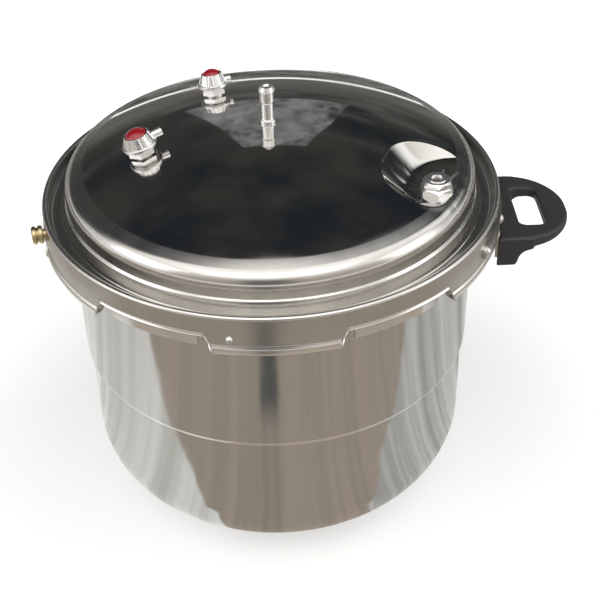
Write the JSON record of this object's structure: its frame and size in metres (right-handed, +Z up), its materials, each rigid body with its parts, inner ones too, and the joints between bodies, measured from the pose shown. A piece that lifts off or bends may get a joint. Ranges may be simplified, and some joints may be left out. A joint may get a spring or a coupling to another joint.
{
  "type": "pressure canner",
  "caption": "Stove-top pressure canner: tall steel pot with a lugged rim, twist-lock domed lid, vent pipe, red-button safety valves, relief valve and a black lid handle.",
  "frame": {"origin": "centre of the underside of the base, on the surface the canner stands on", "axes": "+Z up along the canner's axis, +X towards the lid handle, -Y towards the front"},
  "size_m": [0.4008, 0.343, 0.335],
  "materials": {
    "pot_steel": "polished stainless steel",
    "base_steel": "brushed stainless steel",
    "core_aluminium": "plain",
    "rack_aluminium": "satin",
    "gasket_rubber": "matt",
    "lid_steel": "polished stainless steel",
    "fitting_chrome": "bright plated",
    "hidden_steel": "plain",
    "spring_steel": "drawn wire",
    "plunger_brass": "turned",
    "seal_rubber": "matt",
    "red_plastic": "gloss",
    "bracket_steel": "satin",
    "rivet_aluminium": "plain",
    "black_plastic": "moulded, fine grain",
    "stud_brass": "turned, lightly tarnished"
  },
  "bodies": {
    "pot": {"pot_body": "pot_steel", "base_core": "core_aluminium", "base_cap": "base_steel"},
    "rack": {"canning_rack": "rack_aluminium"},
    "gasket": {"lid_gasket": "gasket_rubber"},
    "lid": {"lid_shell": "lid_steel", "vent_pipe": "fitting_chrome", "vent_seal": "seal_rubber", "vent_nut": "hidden_steel", "vent_strainer": "hidden_steel", "front_valve_base": "fitting_chrome", "front_valve_cap": "fitting_chrome", "front_valve_spring": "spring_steel", "front_valve_seal": "seal_rubber", "front_valve_nut": "hidden_steel", "rear_valve_base": "fitting_chrome", "rear_valve_cap": "fitting_chrome", "rear_valve_spring": "spring_steel", "rear_valve_seal": "seal_rubber", "rear_valve_nut": "hidden_steel", "relief_body": "fitting_chrome", "relief_spring": "spring_steel", "relief_retainer": "fitting_chrome", "relief_seal": "seal_rubber", "relief_nut": "hidden_steel", "handle_bracket": "bracket_steel", "handle_rivets": "rivet_aluminium", "handle_screws": "hidden_steel", "handle_grip": "black_plastic", "stop_rivet": "rivet_aluminium", "side_stud": "stud_brass"},
    "front_plunger": {"front_valve_button": "red_plastic", "front_valve_stem": "hidden_steel"},
    "rear_plunger": {"rear_valve_button": "red_plastic", "rear_valve_stem": "hidden_steel"},
    "relief_valve": {"relief_plunger": "plunger_brass"}
  },
  "joints": [
    {"name": "rack_lift", "type": "slide", "parent": "pot", "child": "rack", "axis": [0, 0, 1], "range_m": [0, 0.15]},
    {"name": "lid_lift", "type": "slide", "parent": "pot", "child": "gasket", "axis": [0, 0, 1], "range_m": [0, 0.12]},
    {"name": "lid_twist", "type": "hinge", "parent": "gasket", "child": "lid", "pos_m": [0, 0, 0.2405], "axis": [0, 0, 1], "range_deg": [0, 27.5]},
    {"name": "front_button_slide", "type": "slide", "parent": "lid", "child": "front_plunger", "axis": [-0.2435, -0.0504, 0.9686], "range_m": [0, 0.003], "stiffness_N_per_m": 600, "springref_m": -0.001, "deforming": ["front_valve_spring"]},
    {"name": "rear_button_slide", "type": "slide", "parent": "lid", "child": "rear_plunger", "axis": [-0.1072, 0.1559, 0.9819], "range_m": [0, 0.003], "stiffness_N_per_m": 600, "springref_m": -0.001, "deforming": ["rear_valve_spring"]},
    {"name": "relief_lift", "type": "slide", "parent": "lid", "child": "relief_valve", "axis": [0, 0, 1], "range_m": [0, 0.0015], "stiffness_N_per_m": 2000, "springref_m": -0.001, "deforming": ["relief_spring"]}
  ]
}
